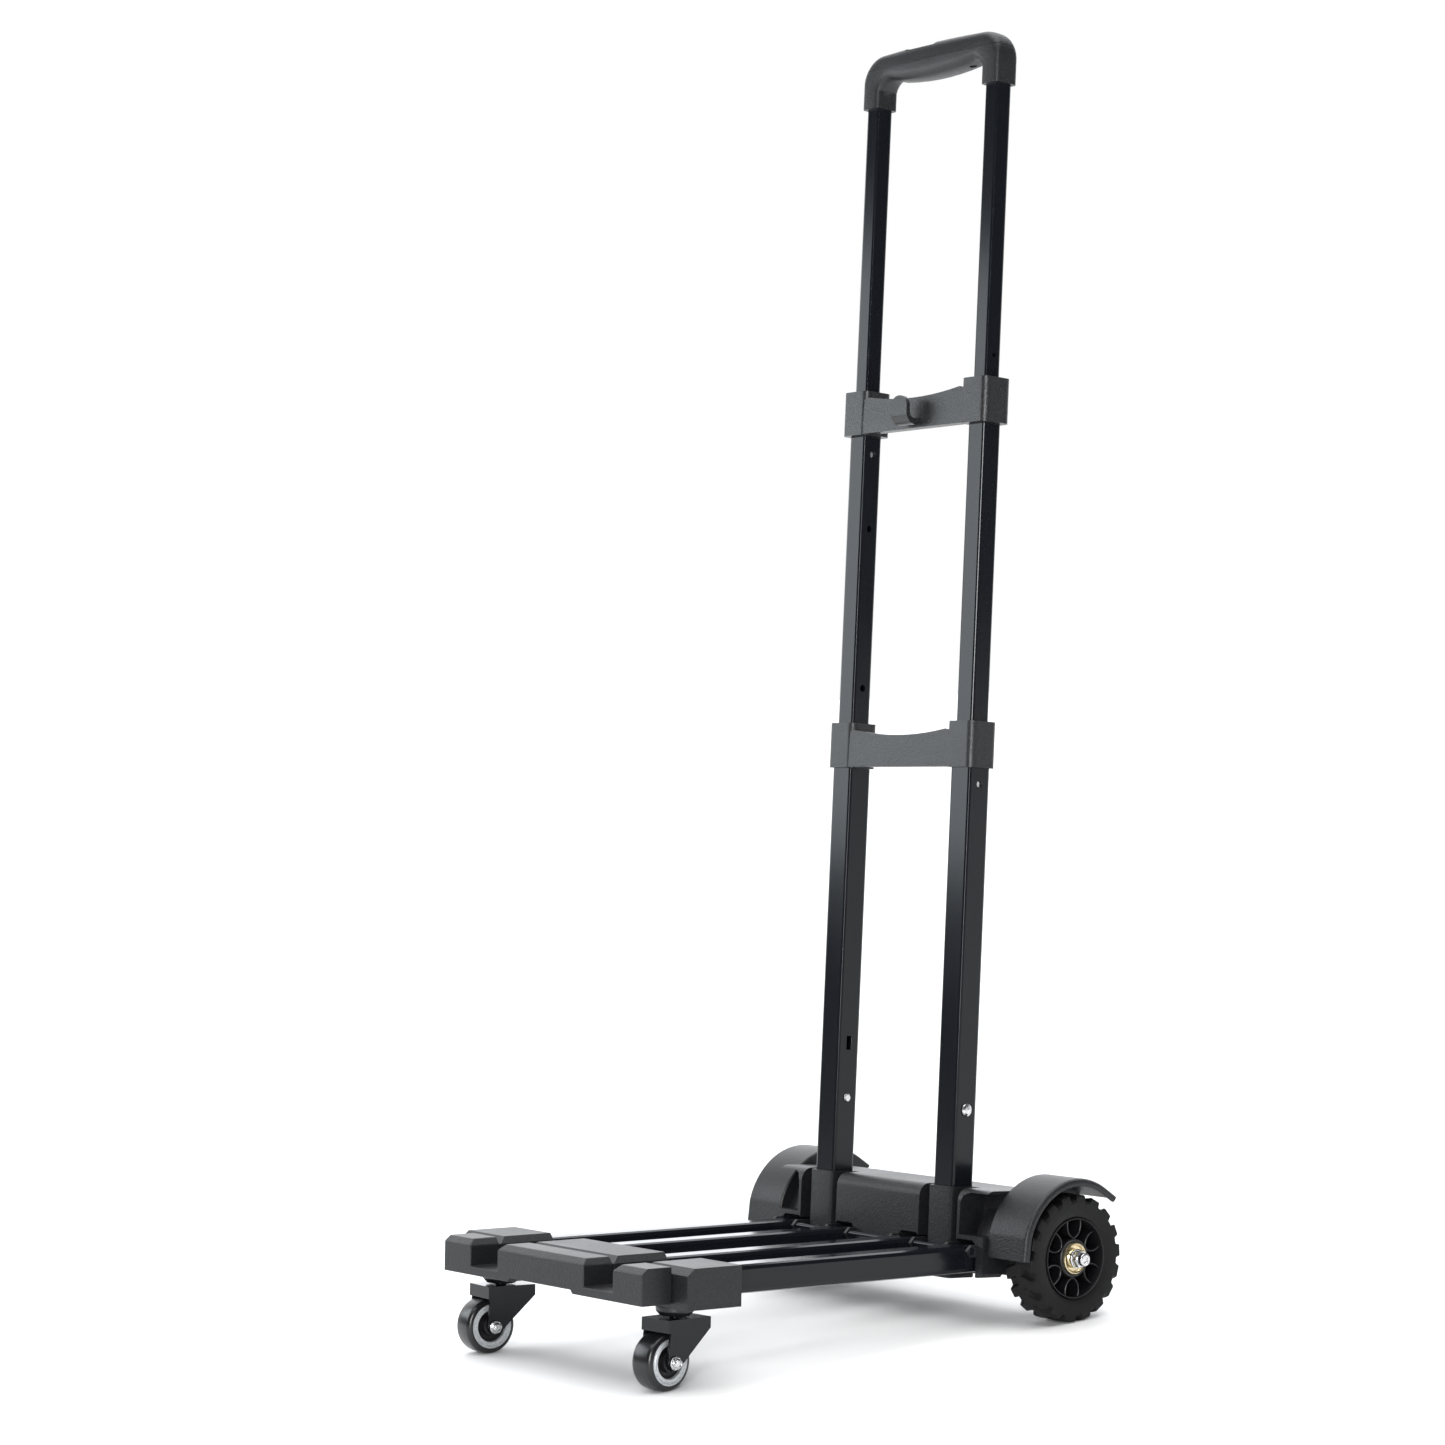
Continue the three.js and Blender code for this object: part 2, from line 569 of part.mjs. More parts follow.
function casterFork() {
  const [top, back, front] = [FORK_TOP, 22, -17];
  const leg = new THREE.Shape();
  const axleZ = -casterAxleDrop;
  leg.moveTo(back, top);
  leg.lineTo(front, top);
  leg.lineTo(front, top - 9);
  leg.lineTo(-CASTER_TRAIL - 6.5, axleZ);
  leg.absarc(-CASTER_TRAIL, axleZ, 6.5, Math.PI, Math.PI * 1.8, false);
  leg.lineTo(back, top - 8);
  const [inner, outer] = [FORK_INNER, FORK_INNER + FORK_SHEET];
  const legs = [sweptX(leg, inner, outer), sweptX(leg, -outer, -inner)];
  const plate = box(-outer, outer, front, back, top - FORK_SHEET, top);
  const lip = box(-outer, outer, front - FORK_SHEET, front, top - 9.2, top);
  return cut(union([...legs, plate, lip]), [
    rodZ(4 + GAP, top - 5, top + 5, 0, 0, 18),
    rodX(2.5 + GAP, -20, 20, -CASTER_TRAIL, axleZ, 14),
  ]);
}

function casterBolt() {
  const outer = FORK_INNER + FORK_SHEET + GAP;
  const shank = rodX(2.5, -outer - 0.5, outer + 4, 0, 0, 14);
  const head = rodX(4.4, -outer - 3, -outer, 0, 0, 6);
  return union([shank, head]);
}

function rollerTyre() {
  const [half, edge] = [CASTER_WIDTH / 2, 3.5];
  const [bore, shoulder] = [15.6, CASTER_RADIUS - 1.2];
  const profile = [[bore, -half], [bore + 2, -half], [shoulder, -half + 1.2], [CASTER_RADIUS, -half + edge],
    [CASTER_RADIUS, half - edge], [shoulder, half - 1.2], [bore + 2, half], [bore, half], [bore, -half]];
  return turnedX(profile, 28);
}

function rollerHub() {
  const half = CASTER_WIDTH / 2;
  const profile = [[2.8, -half - 0.8], [6, -half - 0.8], [7, -half + 1], [15.3, -half + 1],
    [15.3, half - 1], [7, half - 1], [6, half + 0.8], [2.8, half + 0.8], [2.8, -half - 0.8]];
  return turnedX(profile, 20);
}

// ---- Telescopic stages ----
function midTube(side) {
  const inward = (z, radius) => rodX(radius, side > 0 ? -12 : 5, side > 0 ? -5 : 12, 0, z, 12);
  const outward = rodX(PIN_RADIUS + GAP, side > 0 ? 5 : -12, side > 0 ? 12 : -5, 0, LOWER_PIN_Z, 12);
  const holes = [inward(UPPER_PIN_Z, 2.8), inward(520, 2.8), inward(390, 2.8), outward];
  return cut(squareTube(0, MID_TUBE), holes).translate([side * UPRIGHT_X, 0, 0]);
}

function upperTube(side) {
  const pinHole = rodX(PIN_RADIUS + GAP, side > 0 ? -10 : 4, side > 0 ? -4 : 10, 0, UPPER_PIN_Z, 12);
  const vent = rodX(1.6, side > 0 ? 4 : -10, side > 0 ? 10 : -4, 0, 650, 10);
  return cut(squareTube(0, UPPER_TUBE), [pinHole, vent]).translate([side * UPRIGHT_X, 0, 0]);
}

function tubePlug({ size, wall, bottom }) {
  const inside = size - 2 * wall - 2 * GAP;
  const collar = sweptZ(roundedRect(size - 0.4, size - 0.4, 1.5), bottom - 3, bottom - GAP);
  return collar.add(sweptZ(roundedRect(inside, inside, 1), bottom - 1, bottom + 5));
}

// A spring-loaded pin whose tip stands in the hole of its own tube.
function lockPin(reach) {
  const shank = rodX(PIN_RADIUS, reach - 6, reach, 0, 0, 12);
  const collar = rodX(PIN_RADIUS + 1.2, reach - 8, reach - 3, 0, 0, 12);
  return union([shank, collar]);
}

function gripOutline() {
  const shape = new THREE.Shape();
  const [corner, crown, fillet, underside] = [20, GRIP_CROWN, 9, 887];
  shape.moveTo(-GRIP_HALF, GRIP_LEG_BOTTOM);
  shape.lineTo(-GRIP_LEG_INNER, GRIP_LEG_BOTTOM);
  shape.lineTo(-GRIP_LEG_INNER, underside - fillet);
  shape.quadraticCurveTo(-GRIP_LEG_INNER, underside, -GRIP_LEG_INNER + fillet, underside);
  shape.quadraticCurveTo(0, underside - 9, GRIP_LEG_INNER - fillet, underside);
  shape.quadraticCurveTo(GRIP_LEG_INNER, underside, GRIP_LEG_INNER, underside - fillet);
  shape.lineTo(GRIP_LEG_INNER, GRIP_LEG_BOTTOM);
  shape.lineTo(GRIP_HALF, GRIP_LEG_BOTTOM);
  shape.lineTo(GRIP_HALF, GRIP_TOP - corner);
  shape.absarc(GRIP_HALF - corner, GRIP_TOP - corner, corner, 0, Math.PI / 2);
  shape.quadraticCurveTo(0, GRIP_TOP + 2 * crown, -GRIP_HALF + corner, GRIP_TOP);
  shape.absarc(-GRIP_HALF + corner, GRIP_TOP - corner, corner, Math.PI / 2, Math.PI);
  return shape;
}

function gripBody() {
  const slab = sweptY(gripOutline(), -GRIP_DEPTH / 2, GRIP_DEPTH / 2, 4);
  const section = sweptX(roundedRect(GRIP_DEPTH, 60, 8), -100, 100, 2)
    .translate([0, 0, GRIP_TOP + GRIP_CROWN - 30]);
  const plan = new THREE.Shape();
  const [slim, deep] = [GRIP_LEG_DEPTH / 2, GRIP_DEPTH - GRIP_LEG_DEPTH / 2];
  const round = 5;
  const bend = (x, y, quarter) => plan.absarc(x, y, round, quarter * 90 * RAD, (quarter + 1) * 90 * RAD);
  plan.moveTo(-GRIP_HALF + round, -slim);
  plan.lineTo(-GRIP_LEG_INNER, -slim);
  plan.quadraticCurveTo(0, -deep, GRIP_LEG_INNER, -slim);
  bend(GRIP_HALF - round, -slim + round, 3);
  bend(GRIP_HALF - round, slim - round, 0);
  plan.lineTo(GRIP_LEG_INNER, slim);
  plan.quadraticCurveTo(0, deep, -GRIP_LEG_INNER, slim);
  bend(-GRIP_HALF + round, slim - round, 1);
  bend(-GRIP_HALF + round, -slim + round, 2);
  return slab.intersect(section).intersect(sweptZ(plan, 800, 950, 8));
}

function gripLowerShell() {
  const cavity = box(-75, 75, -5, 5, 890, GRIP_SPLIT + 1);
  const room = UPPER_TUBE.size + 2 * GAP;
  const bores = [cavity];
  for (const [, side] of SIDES) {
    const socket = sweptZ(roundedRect(room, room, TUBE_CORNER), GRIP_LEG_BOTTOM - 1,
      UPPER_TUBE.top + GAP);
    bores.push(socket.translate([side * UPRIGHT_X, 0, 0]));
    bores.push(rodZ(3, 880, 892, side * UPRIGHT_X, 0, 14));
  }
  bores.push(rodZ(3, 870, 887, 40, 0, 14));
  const below = box(-100, 100, -20, 20, 850, GRIP_SPLIT);
  return cut(gripBody().intersect(below), bores);
}

function gripUpperShell() {
  const above = box(-100, 100, -20, 20, GRIP_SPLIT + GAP, GRIP_TOP + 5);
  const recess = sweptZ(roundedRect(BUTTON_LENGTH + 1, BUTTON_WIDTH + 1, 5), 900.5, GRIP_TOP + 5, 2)
    .translate([BUTTON_X, 0, 0]);
  const well = box(BUTTON_X - 11, BUTTON_X + 11, -4, 4, 890, 902);
  return cut(gripBody().intersect(above), [recess, well]);
}

function releaseButton() {
  const cap = sweptZ(roundedRect(BUTTON_LENGTH, BUTTON_WIDTH, 4.5), 904, 908.5);
  const stem = box(-10, 10, -3, 3, 896.3, 904.5);
  return union([cap, stem]).translate([BUTTON_X, 0, 0]);
}

function releaseYoke() {
  return box(-74, 74, -4, 4, 893.5, 896);
}

function pushRod(side) {
  return rodZ(2.4, UPPER_PIN_Z + PIN_RADIUS + BUTTON_TRAVEL + 3, 893.2, side * UPRIGHT_X, 0, 12);
}

// ---- Assembly ----
function chassisParts() {
  const parts = [
    piece('axle_housing', axleHousing(), blackPlastic()),
    piece('housing_bottom_cover', housingBottomCover(), blackPlastic()),
    piece('rear_axle', rodX(AXLE_RADIUS, -AXLE_HALF, AXLE_HALF, AXLE_Y, AXLE_Z), zincSteel()),
    piece('lower_clamp', clamp(LOWER_CLAMP, LOWER_TUBE, LOWER_TUBE.top, MID_TUBE, 9), satinPlastic()),
  ];
  const [pinY, pinZ] = handlePoint(HINGE_Y, HINGE_Z);
  const hingePin = rodX(HINGE_PIN_RADIUS, -116.5, 116.5, pinY, pinZ, 16);
  parts.push(piece('platform_hinge_pin', hingePin, blackPaint()));
  for (const [name, side] of SIDES) {
    parts.push(piece(`fender_${name}`, side > 0 ? fender() : mirrored(fender()), blackPlastic()));
    parts.push(piece(`lower_tube_${name}`, lowerTube(side), blackPaint()));
    parts.push(piece(`tube_rivet_${name}`, tubeRivet(side), zincSteel()));
    const nut = lockNut(13, 6.5, 3, AXLE_RADIUS + GAP)
      .translate([WHEEL_X + WHEEL_WIDTH / 2 + GAP, AXLE_Y, AXLE_Z]);
    parts.push(piece(`axle_nut_${name}`, side > 0 ? nut : mirrored(nut), zincSteel()));
  }
  return parts;
}

function rearWheel(name, side) {
  const wheel = new THREE.Group();
  const facing = (solid) => (side > 0 ? solid : mirrored(solid));
  wheel.add(piece(`rear_tyre_${name}`, facing(tyre()), blackRubber()));
  wheel.add(piece(`rear_rim_${name}`, facing(rim()), rimPlastic()));
  wheel.add(piece(`hub_bearing_${name}`, facing(hubBearing()), goldZinc()));
  wheel.position.set(side * WHEEL_X, AXLE_Y, AXLE_Z);
  return wheel;
}

function caster(name, side) {
  const base = new THREE.Group();
  base.position.set(side * CASTER_X, CASTER_Y, BLOCK.bottom);
  base.add(piece(`caster_mount_${name}`, casterMount(), satinPlastic()));
  const swivel = new THREE.Group();
  swivel.rotation.z = CASTER_YAW[name] * RAD;
  swivel.add(piece(`caster_fork_${name}`, casterFork(), blackPaint()));
  const axle = new THREE.Group();
  axle.position.set(0, -CASTER_TRAIL, -casterAxleDrop);
  axle.add(piece(`caster_bolt_${name}`, casterBolt(), zincSteel()));
  const nut = lockNut(8, 3.6, 1.6, 2.5 + GAP).translate([FORK_INNER + FORK_SHEET + GAP, 0, 0]);
  axle.add(piece(`caster_nut_${name}`, nut, zincSteel()));
  axle.add(piece(`roller_tyre_${name}`, rollerTyre(), rollerTread()));
  axle.add(piece(`roller_hub_${name}`, rollerHub(), greyDisc()));
  swivel.add(axle);
  base.add(swivel);
  return base;
}

function platform() {
  const group = new THREE.Group();
  group.position.set(0, PLATFORM_Y, PLATFORM_Z);
  group.rotation.x = FOLD_FREE * RAD;
  PLATFORM_TUBE_X.forEach((x, index) => {
    group.add(piece(`platform_tube_${index + 1}`, platformTube(x), blackPaint()));
  });
  group.add(piece('front_block', frontBlock(), blackPlastic()));
  group.add(piece('front_bar', frontBar(), blackPlastic()));
  for (const [name, side] of SIDES) {
    group.add(piece(`slide_tube_${name}`, slideTube(side), blackPaint()));
    group.add(caster(name, side));
  }
  return group;
}

function telescope() {
  const group = new THREE.Group();
  const upperClamp = clamp(UPPER_CLAMP, MID_TUBE, MID_TUBE.top, UPPER_TUBE, 9).add(hook());
  group.add(piece('upper_clamp', upperClamp, satinPlastic()));
  group.add(piece('grip_lower_shell', gripLowerShell(), blackPlastic()));
  group.add(piece('grip_upper_shell', gripUpperShell(), blackPlastic()));
  group.add(piece('release_button', releaseButton(), satinPlastic()));
  group.add(piece('release_yoke', releaseYoke(), zincSteel()));
  for (const [name, side] of SIDES) {
    const x = side * UPRIGHT_X;
    group.add(piece(`mid_tube_${name}`, midTube(side), blackPaint()));
    group.add(piece(`upper_tube_${name}`, upperTube(side), blackPaint()));
    group.add(piece(`mid_plug_${name}`, tubePlug(MID_TUBE).translate([x, 0, 0]), satinPlastic()));
    group.add(piece(`upper_plug_${name}`, tubePlug(UPPER_TUBE).translate([x, 0, 0]), satinPlastic()));
    group.add(piece(`push_rod_${name}`, pushRod(side), zincSteel()));
    const lower = lockPin(MID_TUBE.size / 2 + GAP - 0.1);
    const upper = lockPin(UPPER_TUBE.size / 2 + GAP - 0.1);
    const lowerPin = side > 0 ? lower : mirrored(lower);
    const upperPin = side > 0 ? mirrored(upper) : upper;
    group.add(piece(`mid_lock_pin_${name}`, lowerPin.translate([x, 0, LOWER_PIN_Z]), zincSteel()));
    group.add(piece(`upper_lock_pin_${name}`, upperPin.translate([x, 0, UPPER_PIN_Z]), zincSteel()));
  }
  return group;
}

const cart = new THREE.Group();
for (const part of chassisParts()) cart.add(part);
for (const [name, side] of SIDES) cart.add(rearWheel(name, side));
cart.add(platform());
cart.add(telescope());
cart.rotation.x = -LEAN * RAD;
cart.position.z = -groundLevel;

const group = new THREE.Group();
group.add(cart);

// The origin is on the ground under the middle of the cart's length.
group.updateMatrixWorld(true);
const extent = new THREE.Box3().setFromObject(group, true);
cart.position.y -= (extent.min.y + extent.max.y) / 2;
group.updateMatrixWorld(true);

export default group;
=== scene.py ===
import json
import math

import bmesh
import bpy
from mathutils import Matrix, Vector


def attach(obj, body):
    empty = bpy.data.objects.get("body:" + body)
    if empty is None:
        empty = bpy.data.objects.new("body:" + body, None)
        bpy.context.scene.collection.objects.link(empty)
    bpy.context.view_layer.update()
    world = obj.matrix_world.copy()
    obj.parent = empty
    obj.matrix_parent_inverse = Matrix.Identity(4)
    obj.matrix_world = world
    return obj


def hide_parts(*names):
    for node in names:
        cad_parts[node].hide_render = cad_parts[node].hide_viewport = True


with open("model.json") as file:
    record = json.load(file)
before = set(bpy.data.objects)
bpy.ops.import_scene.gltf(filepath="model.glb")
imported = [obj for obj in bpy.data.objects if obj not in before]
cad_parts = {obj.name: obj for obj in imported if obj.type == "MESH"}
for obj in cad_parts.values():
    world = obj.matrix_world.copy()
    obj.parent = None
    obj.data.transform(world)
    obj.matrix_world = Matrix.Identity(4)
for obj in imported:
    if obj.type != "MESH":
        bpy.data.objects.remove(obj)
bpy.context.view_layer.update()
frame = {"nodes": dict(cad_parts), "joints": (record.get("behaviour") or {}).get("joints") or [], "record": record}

# Lengths below are in millimetres, in the frame named beside them.
MM = 0.001
SIDES = (("left", -1), ("right", 1))

# Handle frame: z runs up the uprights, z = 0 at the top of the sockets. The rear axle in it:
AXLE_Y = 43.6
AXLE_Z = -48

# Rear wheels, about their own axle
WHEEL_HALF = 15
TREAD_RADIUS = 48.6
GROOVE_RADIUS = 45
TYRE_BORE = 30.8
LUGS = 18
RIM_OUTER = 30.6
RIM_INNER = 29.4
HUB_RADIUS = 14.6
SPOKE_PAIRS = 6
SPOKE_HALF_THICKNESS = 0.6

# Fenders, in the handle frame
FENDER_Y = 45.5
FENDER_Z = -44.8
FENDER_RADIUS = 57.5
FENDER_INNER_X = 122
FENDER_OUTER_X = 164
FENDER_WALL = 2.8
FENDER_LIP = 3.2
FENDER_TAIL = 47
FENDER_CREASE = 168
FENDER_STEPS = 44
FENDER_BOTTOM = -49.6

# Caster rollers, about their own axle
ROLLER_RADIUS = 20.7
ROLLER_HALF = 10
ROLLER_SHOULDER = 4
FORK_NUT_X = 14.6

# Grip, in the handle frame
GRIP_LEG_BOTTOM = 866
GRIP_LEG_TOP = 880
GRIP_TOP = 909.5
GRIP_SPLIT = 897
GRIP_SEAM = 0.12
GRIP_HALF = 80
GRIP_LEG_INNER = 60.4
GRIP_LEG_DEPTH = 23
GRIP_MIDDLE_DEPTH = 25
GRIP_BEND = 21
GRIP_CROWN = 1.6
GRIP_BELLY = 5.5
GRIP_SIDES = 28
BUTTON_X = -14
BUTTON_LENGTH = 36
BUTTON_WIDTH = 20
BUTTON_BOTTOM = 904.2
BUTTON_TOP = 908.3
RECESS_FLOOR = 901
RECESS_GAP = 0.5
SCREW_X = 40
SCREW_RADIUS = 3
SCREW_DEPTH_Z = 886.5

joints = {joint["name"]: joint for joint in frame["joints"]}


def joint_axis(name):
    return Vector(joints[name]["axis"]).normalized()


def joint_point(name):
    return Vector(joints[name]["pos_m"])


def placed(origin, up):
    """Matrix from millimetres in a frame leaning in the YZ plane to the scene's metres."""
    x = Vector((1, 0, 0))
    y = up.cross(x)
    turn = Matrix((x, y, up)).transposed().to_4x4()
    return Matrix.Translation(origin) @ turn @ Matrix.Scale(MM, 4)


def handle_frame():
    up = joint_axis("mid_stage_slide")
    back = up.cross(Vector((1, 0, 0)))
    axle = joint_point("rear_wheel_roll_right")
    axle.x = 0
    return placed(axle - back * AXLE_Y * MM - up * AXLE_Z * MM, up)


def axle_frame(joint, side):
    """X runs along the axle, outward on the given side, and z stays upright."""
    x = joint_axis(joint) * side
    z = Vector((0, 0, 1))
    z = (z - x * z.dot(x)).normalized()
    y = z.cross(x) * side
    turn = Matrix((x, y, z)).transposed().to_4x4()
    return Matrix.Translation(joint_point(joint)) @ turn @ Matrix.Scale(MM, 4)


HANDLE = handle_frame()


# ---- Materials ----
PATCH_SCALE = 14
BUMP_DEPTH = 0.0004


def surface(name, color, roughness, grain, metallic=0.0, bump=0.0, spread=0.25, specular=0.5):
    """A procedural finish: noise at `grain` per metre varies colour and height, and broad patches gloss."""
    material = bpy.data.materials.new(name)
    material.use_nodes = True
    nodes, links = material.node_tree.nodes, material.node_tree.links
    shader = nodes["Principled BSDF"]
    shader.inputs["Metallic"].default_value = metallic
    shader.inputs["Specular IOR Level"].default_value = specular
    place = nodes.new("ShaderNodeTexCoord")
    fine = nodes.new("ShaderNodeTexNoise")
    fine.inputs["Scale"].default_value = grain
    fine.inputs["Detail"].default_value = 3
    links.new(place.outputs["Object"], fine.inputs["Vector"])
    broad = nodes.new("ShaderNodeTexNoise")
    broad.inputs["Scale"].default_value = PATCH_SCALE
    links.new(place.outputs["Object"], broad.inputs["Vector"])
    ramp = nodes.new("ShaderNodeValToRGB")
    for element, share in zip(ramp.color_ramp.elements, (1 - spread, 1 + spread)):
        element.color = (*(min(channel * share, 1) for channel in color), 1)
    ramp.color_ramp.elements[0].position = 0.3
    ramp.color_ramp.elements[1].position = 0.7
    links.new(fine.outputs["Fac"], ramp.inputs["Fac"])
    links.new(ramp.outputs["Color"], shader.inputs["Base Color"])
    sheen = nodes.new("ShaderNodeMapRange")
    sheen.inputs["To Min"].default_value = roughness * 0.8
    sheen.inputs["To Max"].default_value = roughness * 1.2
    links.new(broad.outputs["Fac"], sheen.inputs["Value"])
    links.new(sheen.outputs["Result"], shader.inputs["Roughness"])
    if bump:
        height = nodes.new("ShaderNodeBump")
        height.inputs["Strength"].default_value = bump
        height.inputs["Distance"].default_value = BUMP_DEPTH
        links.new(fine.outputs["Fac"], height.inputs["Height"])
        links.new(height.outputs["Normal"], shader.inputs["Normal"])
    return material


MATERIALS = {
    "grained_plastic": surface("grained_plastic", (0.011, 0.0115, 0.013), 0.42, 700,
                               bump=0.8, spread=0.4, specular=0.4),
    "satin_plastic": surface("satin_plastic", (0.012, 0.0125, 0.014), 0.36, 700, bump=0.6, spread=0.4),
    "black_paint": surface("black_paint", (0.005, 0.006, 0.0085), 0.16, 500, spread=0.1, specular=0.27),
    "zinc_steel": surface("zinc_steel", (0.62, 0.63, 0.64), 0.24, 900, metallic=1.0, bump=0.1),
    "tyre_rubber": surface("tyre_rubber", (0.005, 0.005, 0.0054), 0.55, 1000, bump=0.5, specular=0.22),
    "roller_tread": surface("roller_tread", (0.007, 0.007, 0.008), 0.28, 700, spread=0.15),
    "rim_plastic": surface("rim_plastic", (0.005, 0.005, 0.006), 0.38, 900, bump=0.15, specular=0.4),
    "gold_zinc": surface("gold_zinc", (0.7, 0.6, 0.38), 0.25, 900, metallic=1.0),
    "grey_disc": surface("grey_disc", (0.5, 0.52, 0.54), 0.35, 900, metallic=0.5),
}


# ---- Mesh helpers ----
WELD_DISTANCE = 0.00001


def add_piece(name, bm, place, body, slot, replaced=(), bevel=0.0, sharp=38):
    """A finished mesh in `place`'s frame becomes a piece that rides on a CAD body."""
    bm.transform(place)
    bmesh.ops.remove_doubles(bm, verts=bm.verts, dist=WELD_DISTANCE)
    bmesh.ops.recalc_face_normals(bm, faces=bm.faces)
    mesh = bpy.data.meshes.new(name)
    bm.to_mesh(mesh)
    bm.free()
    mesh.materials.append(MATERIALS[slot])
    mesh.shade_smooth()
    piece = bpy.data.objects.new(name, mesh)
    bpy.context.scene.collection.objects.link(piece)
    if bevel:
        round_edges(piece, bevel, sharp)
    else:
        mesh.set_sharp_from_angle(angle=math.radians(sharp))
    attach(piece, body)
    if replaced:
        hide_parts(*replaced)
    return piece


def add_bevel(piece, width, sharp, segments):
    """Rounds edges sharper than `sharp` degrees by `width` millimetres."""
    bevel = piece.modifiers.new("round", "BEVEL")
    bevel.width = width * MM
    bevel.segments = segments
    bevel.limit_method = "ANGLE"
    bevel.angle_limit = math.radians(sharp)
    bevel.harden_normals = False


def round_edges(piece, width, sharp=35):
    """A bevel of three segments that shades smoothly into the larger faces beside it."""
    add_bevel(piece, width, sharp, 3)
    weighted = piece.modifiers.new("weighted", "WEIGHTED_NORMAL")
    weighted.keep_sharp = False


def lathe(profile, segments=72):
    """A closed profile of (x, radius) points turned about X."""
    bm = bmesh.new()
    rings = []
    for step in range(segments):
        angle = 2 * math.pi * step / segments
        rings.append([bm.verts.new((x, r * math.cos(angle), r * math.sin(angle))) for x, r in profile])
    join_rings(bm, rings, closed=True)
    bmesh.ops.dissolve_degenerate(bm, dist=0.0001, edges=bm.edges)
    return bm


def join_rings(bm, rings, closed):
    """Quads between neighbouring rings of equal length, and caps at the ends of an open run."""
    count = len(rings[0])
    pairs = zip(rings, rings[1:] + rings[:1]) if closed else zip(rings, rings[1:])
    for a, b in pairs:
        for i in range(count):
            j = (i + 1) % count
            bm.faces.new((a[i], a[j], b[j], b[i]))
    if not closed:
        bm.faces.new(rings[0])
        bm.faces.new(rings[-1])


def prism(bm, outline, x0, x1):
    """An outline of (y, z) points swept along X."""
    low = [bm.verts.new((x0, y, z)) for y, z in outline]
    high = [bm.verts.new((x1, y, z)) for y, z in outline]
    join_rings(bm, [low, high], closed=False)


def arc(centre, radius, start, end, steps):
    """Points on an arc, angles in degrees."""
    turns = (math.radians(start + (end - start) * i / steps) for i in range(steps + 1))
    return [(centre[0] + radius * math.cos(t), centre[1] + radius * math.sin(t)) for t in turns]


# ---- Rear wheels ----
# Shares of one lug's pitch. The left row's grooves lie half a pitch after the right row's.
GROOVE_START = 0.08
GROOVE_END = 0.4
STATIONS = (0, GROOVE_START, GROOVE_END, 0.48, GROOVE_START + 0.5, GROOVE_END + 0.5)
SKEW = 0.35


def in_groove(share, row):
    shift = 0.5 if row < 0 else 0
    margin = 1e-6
    return GROOVE_START - margin <= (share - shift) % 1 <= GROOVE_END + margin


def tread_section(share):
    """(x, radius) round one side-to-side section, with the grooves that this station cuts."""
    def half(row):
        cut = in_groove(share, row)
        floor = GROOVE_RADIUS if cut else TREAD_RADIUS
        return [
            (2.2, TREAD_RADIUS),
            (3.6, floor),
            (11.6, floor - (0.2 if cut else 0.1)),
            (14.2, floor - 0.9),
            (WHEEL_HALF, floor - 2.2),
            (WHEEL_HALF, 41.6),
            (WHEEL_HALF - 0.2, 37),
            (WHEEL_HALF - 0.9, 33),
            (WHEEL_HALF - 1.8, 31.3),
            (WHEEL_HALF - 2.8, TYRE_BORE),
        ]
    right = half(1)
    left = [(-x, radius) for x, radius in reversed(half(-1))]
    return right + left


def tyre():
    """Lugs in two staggered rows, their grooves skewed from the middle out to the shoulders."""
    bm = bmesh.new()
    pitch = 2 * math.pi / LUGS
    rings = []
    for lug in range(LUGS):
        for share in STATIONS:
            ring = []
            for x, radius in tread_section(share):
                on_tread = radius > 38
                slant = SKEW * max(abs(x) - 3, 0) / WHEEL_HALF if on_tread else SKEW * 0.8
                angle = (lug + share + slant) * pitch
                ring.append(bm.verts.new((x, radius * math.cos(angle), radius * math.sin(angle))))
            rings.append(ring)
    join_rings(bm, rings, closed=True)
    return bm


def rim():
    """Flanged ring, hub and a dark web behind the spokes."""
    half = WHEEL_HALF
    ring = [(half - 1.6, RIM_OUTER), (half - 0.9, 30.3), (half - 0.9, 29.8), (half - 1.6, RIM_INNER),
            (-half + 1.6, RIM_INNER), (-half + 0.9, 29.8), (-half + 0.9, 30.3), (-half + 1.6, RIM_OUTER)]
    bm = lathe(ring, 96)
    hub = [(half - 3.2, 12.6), (half - 2.4, 12.9), (half - 2.4, HUB_RADIUS - 0.6), (half - 3, HUB_RADIUS),
           (-half + 3, HUB_RADIUS), (-half + 2.4, 13), (-half + 2.4, 10.6), (half - 3.2, 10.6)]
    web = [(-4, 12), (-2, 12), (-2, RIM_INNER + 0.4), (-4, RIM_INNER + 0.4)]
    for profile in (hub, web):
        add_mesh(bm, lathe(profile, 64))
    for pair in range(SPOKE_PAIRS):
        add_mesh(bm, spoke_pair(2 * math.pi * (pair + 0.4) / SPOKE_PAIRS))
    return bm


def add_mesh(bm, other):
    """Adds the other mesh's faces to the first, and frees the other."""
    mesh = bpy.data.meshes.new("part")
    other.to_mesh(mesh)
    other.free()
    bm.from_mesh(mesh)
    bpy.data.meshes.remove(mesh)


